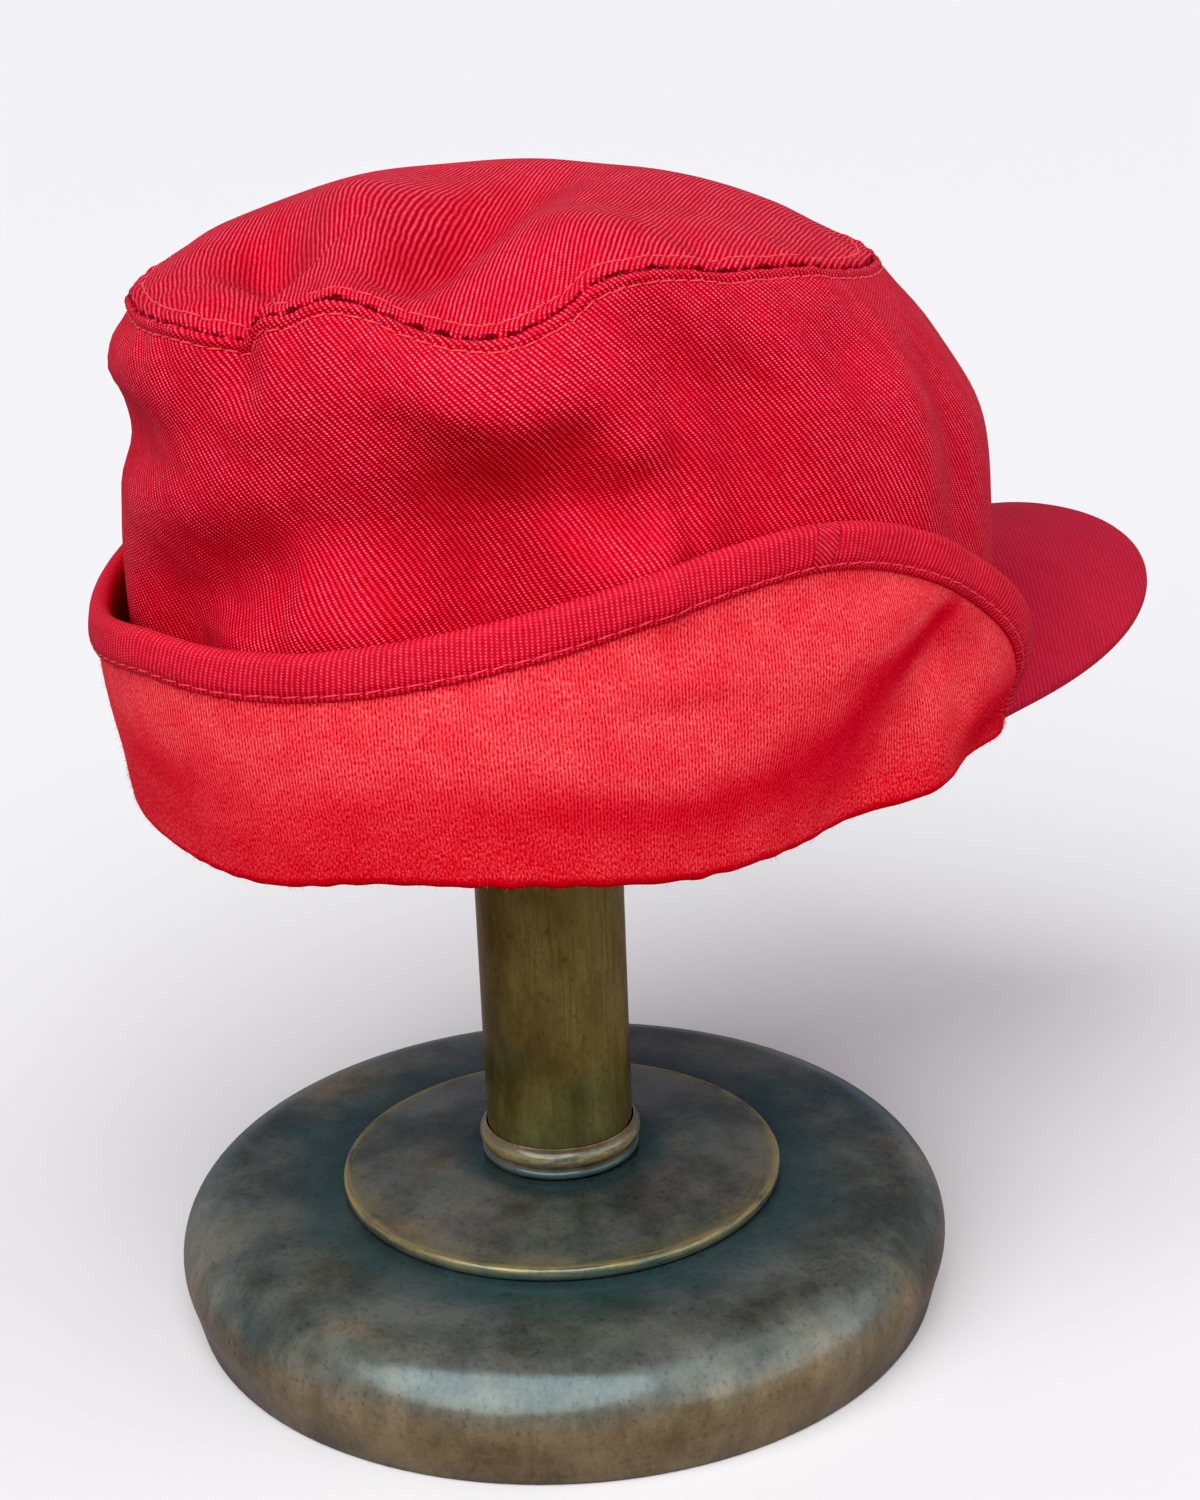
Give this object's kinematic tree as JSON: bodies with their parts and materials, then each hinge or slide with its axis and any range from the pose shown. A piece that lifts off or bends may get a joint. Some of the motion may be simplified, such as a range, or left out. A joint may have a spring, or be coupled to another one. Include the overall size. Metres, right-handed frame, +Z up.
{
  "type": "earflap cap on a hat stand",
  "caption": "Soft twill cap with a short curved peak and a turned-up lined earflap, resting on the dome of a round-based turned hat stand.",
  "frame": {"origin": "centre of the underside of the stand's base, on the floor", "axes": "+Z up along the stand's post, -Y the way the cap's peak points, +X the wearer's left"},
  "size_m": [0.18, 0.2801, 0.26],
  "materials": {
    "bronze": "dark brown bronze patina, worn brassy on the edges",
    "twill": "red cotton twill with a fine diagonal line",
    "brushed_knit": "brighter red brushed knit with a soft nap"
  },
  "bodies": {
    "root": {"stand_base": "bronze", "stand_disc": "bronze", "stand_collar": "bronze", "stand_post": "bronze", "stand_head": "bronze", "crown_side": "twill", "crown_top": "twill", "earflap_shell": "twill", "earflap_lining": "brushed_knit", "peak": "twill"}
  },
  "joints": []
}
